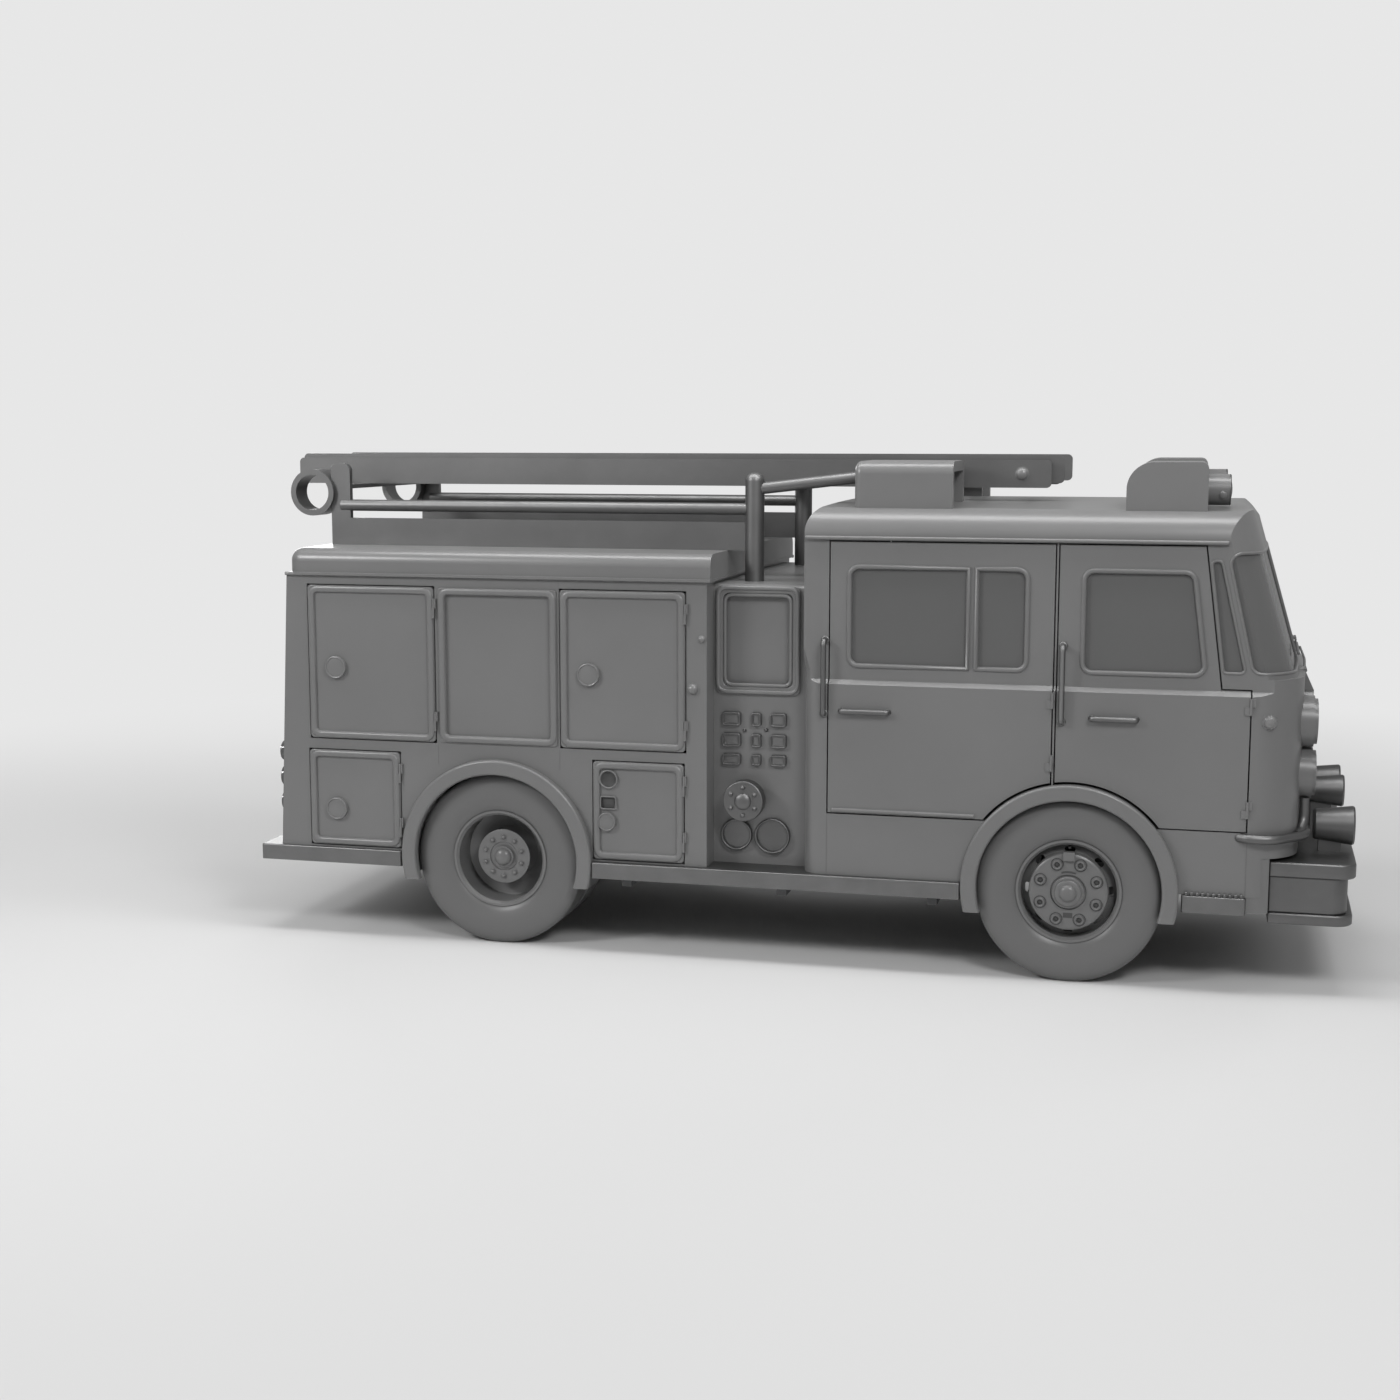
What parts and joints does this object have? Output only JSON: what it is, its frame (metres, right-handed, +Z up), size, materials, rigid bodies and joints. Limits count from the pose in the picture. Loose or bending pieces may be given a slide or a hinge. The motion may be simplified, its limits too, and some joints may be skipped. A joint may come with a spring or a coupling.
{
  "type": "fire engine",
  "caption": "Compact two-axle pumping fire engine with hinged cab and locker doors, steered front wheels, twin rear wheels and a sliding roof ladder.",
  "frame": {"origin": "on the ground below the middle of the overall length and width", "axes": "+X to the front, +Y to the vehicle's left, +Z up"},
  "size_m": [6.6598, 2.5, 3.0014],
  "materials": {
    "body_paint": "satin grey enamel",
    "frame_steel": "satin chassis paint",
    "cast_metal": "as cast, painted",
    "tank_plastic": "moulded",
    "tread_plate": "raised pattern plate",
    "bright_metal": "satin",
    "ladder_alloy": "brushed",
    "rim_steel": "satin",
    "tyre": "matt",
    "glass": "smoked",
    "seat_fabric": "woven",
    "trim_plastic": "grained",
    "floor_rubber": "ribbed"
  },
  "bodies": {
    "chassis": {"chassis_frame": "frame_steel", "engine_block": "cast_metal", "driveline": "frame_steel", "front_axle": "frame_steel", "rear_axle": "frame_steel", "leaf_springs": "frame_steel", "water_tank": "tank_plastic", "rear_body": "body_paint", "body_roof": "body_paint", "step_boards": "tread_plate", "wheel_arches": "body_paint", "pump_house": "body_paint", "pump_fittings": "bright_metal", "cab_shell": "body_paint", "cab_floor": "floor_rubber", "seats": "seat_fabric", "seat_bases": "trim_plastic", "dashboard": "trim_plastic", "windscreen": "glass", "quarter_glass": "glass", "grille": "bright_metal", "headlamps": "body_paint", "tail_lamps": "glass", "front_bumper": "bright_metal", "bumper_horns": "bright_metal", "guard_tubes": "bright_metal", "grab_rails": "bright_metal", "tow_eyes": "bright_metal", "ladder_rack": "ladder_alloy", "ladder_base": "ladder_alloy", "roof_cases": "body_paint", "roof_lamps": "body_paint"},
    "knuckle_left": {"knuckle_left": "frame_steel"},
    "front_wheel_left": {"front_wheel_left": "rim_steel", "front_tyre_left": "tyre"},
    "rear_wheels_left": {"rear_wheels_left": "rim_steel", "rear_tyres_left": "tyre"},
    "crew_door_left": {"crew_door_left": "body_paint", "crew_door_glass_left": "glass"},
    "front_door_left": {"front_door_left": "body_paint", "front_door_glass_left": "glass"},
    "knuckle_right": {"knuckle_right": "frame_steel"},
    "front_wheel_right": {"front_wheel_right": "rim_steel", "front_tyre_right": "tyre"},
    "rear_wheels_right": {"rear_wheels_right": "rim_steel", "rear_tyres_right": "tyre"},
    "crew_door_right": {"crew_door_right": "body_paint", "crew_door_glass_right": "glass"},
    "front_door_right": {"front_door_right": "body_paint", "front_door_glass_right": "glass"},
    "locker_upper_rear_right": {"locker_upper_rear_right": "body_paint"},
    "locker_upper_front_right": {"locker_upper_front_right": "body_paint"},
    "locker_lower_rear_right": {"locker_lower_rear_right": "body_paint"},
    "locker_lower_front_right": {"locker_lower_front_right": "body_paint"},
    "locker_upper_rear_left": {"locker_upper_rear_left": "body_paint"},
    "locker_upper_front_left": {"locker_upper_front_left": "body_paint"},
    "locker_lower_rear_left": {"locker_lower_rear_left": "body_paint"},
    "locker_lower_front_left": {"locker_lower_front_left": "body_paint"},
    "tie_rod": {"tie_rod": "frame_steel"},
    "ladder_fly": {"ladder_fly": "ladder_alloy"}
  },
  "joints": [
    {"name": "steer_left", "type": "hinge", "parent": "chassis", "child": "knuckle_left", "pos_m": [1.745, 0.9, 0.53], "axis": [0, 0, 1], "range_deg": [-32, 32]},
    {"name": "front_wheel_spin_left", "type": "hinge", "parent": "knuckle_left", "child": "front_wheel_left", "pos_m": [1.745, 1.06, 0.53], "axis": [0, 1, 0], "continuous": true},
    {"name": "rear_wheels_spin_left", "type": "hinge", "parent": "chassis", "child": "rear_wheels_left", "pos_m": [-1.715, 0.89, 0.53], "axis": [0, 1, 0], "continuous": true},
    {"name": "crew_door_hinge_left", "type": "hinge", "parent": "chassis", "child": "crew_door_left", "pos_m": [1.631, 1.209, 1.4], "axis": [0, 0, -1], "range_deg": [0, 75]},
    {"name": "front_door_hinge_left", "type": "hinge", "parent": "chassis", "child": "front_door_left", "pos_m": [2.714, 1.209, 1.4], "axis": [0, 0, -1], "range_deg": [0, 75]},
    {"name": "steer_right", "type": "hinge", "parent": "chassis", "child": "knuckle_right", "pos_m": [1.745, -0.9, 0.53], "axis": [0, 0, 1], "range_deg": [-32, 32]},
    {"name": "front_wheel_spin_right", "type": "hinge", "parent": "knuckle_right", "child": "front_wheel_right", "pos_m": [1.745, -1.06, 0.53], "axis": [0, 1, 0], "continuous": true},
    {"name": "rear_wheels_spin_right", "type": "hinge", "parent": "chassis", "child": "rear_wheels_right", "pos_m": [-1.715, -0.89, 0.53], "axis": [0, 1, 0], "continuous": true},
    {"name": "crew_door_hinge_right", "type": "hinge", "parent": "chassis", "child": "crew_door_right", "pos_m": [1.631, -1.209, 1.4], "axis": [0, 0, 1], "range_deg": [0, 75]},
    {"name": "front_door_hinge_right", "type": "hinge", "parent": "chassis", "child": "front_door_right", "pos_m": [2.714, -1.209, 1.4], "axis": [0, 0, 1], "range_deg": [0, 75]},
    {"name": "tie_rod_pivot", "type": "hinge", "parent": "knuckle_left", "child": "tie_rod", "pos_m": [1.525, 0.9, 0.45], "axis": [0, 0, 1], "range_deg": [-32, 32]},
    {"name": "locker_upper_rear_left_hinge", "type": "hinge", "parent": "chassis", "child": "locker_upper_rear_left", "pos_m": [-2.101, 1.211, 1.728], "axis": [0, 0, -1], "range_deg": [0, 95]},
    {"name": "locker_upper_front_left_hinge", "type": "hinge", "parent": "chassis", "child": "locker_upper_front_left", "pos_m": [-0.515, 1.211, 1.728], "axis": [0, 0, -1], "range_deg": [0, 95]},
    {"name": "locker_lower_rear_left_hinge", "type": "hinge", "parent": "chassis", "child": "locker_lower_rear_left", "pos_m": [-2.342, 1.211, 0.875], "axis": [0, 0, -1], "range_deg": [0, 95]},
    {"name": "locker_lower_front_left_hinge", "type": "hinge", "parent": "chassis", "child": "locker_lower_front_left", "pos_m": [-0.525, 1.211, 0.875], "axis": [0, 0, -1], "range_deg": [0, 95]},
    {"name": "locker_upper_rear_right_hinge", "type": "hinge", "parent": "chassis", "child": "locker_upper_rear_right", "pos_m": [-2.101, -1.211, 1.728], "axis": [0, 0, 1], "range_deg": [0, 95]},
    {"name": "locker_upper_front_right_hinge", "type": "hinge", "parent": "chassis", "child": "locker_upper_front_right", "pos_m": [-0.515, -1.211, 1.728], "axis": [0, 0, 1], "range_deg": [0, 95]},
    {"name": "locker_lower_rear_right_hinge", "type": "hinge", "parent": "chassis", "child": "locker_lower_rear_right", "pos_m": [-2.342, -1.211, 0.875], "axis": [0, 0, 1], "range_deg": [0, 95]},
    {"name": "locker_lower_front_right_hinge", "type": "hinge", "parent": "chassis", "child": "locker_lower_front_right", "pos_m": [-0.525, -1.211, 0.875], "axis": [0, 0, 1], "range_deg": [0, 95]},
    {"name": "ladder_slide", "type": "slide", "parent": "chassis", "child": "ladder_fly", "axis": [1, 0, 0], "range_m": [0, 3.2]}
  ],
  "couplings": [
    {"joint": "steer_right", "follows": "steer_left", "ratio": 1},
    {"joint": "tie_rod_pivot", "follows": "steer_left", "ratio": -1}
  ]
}
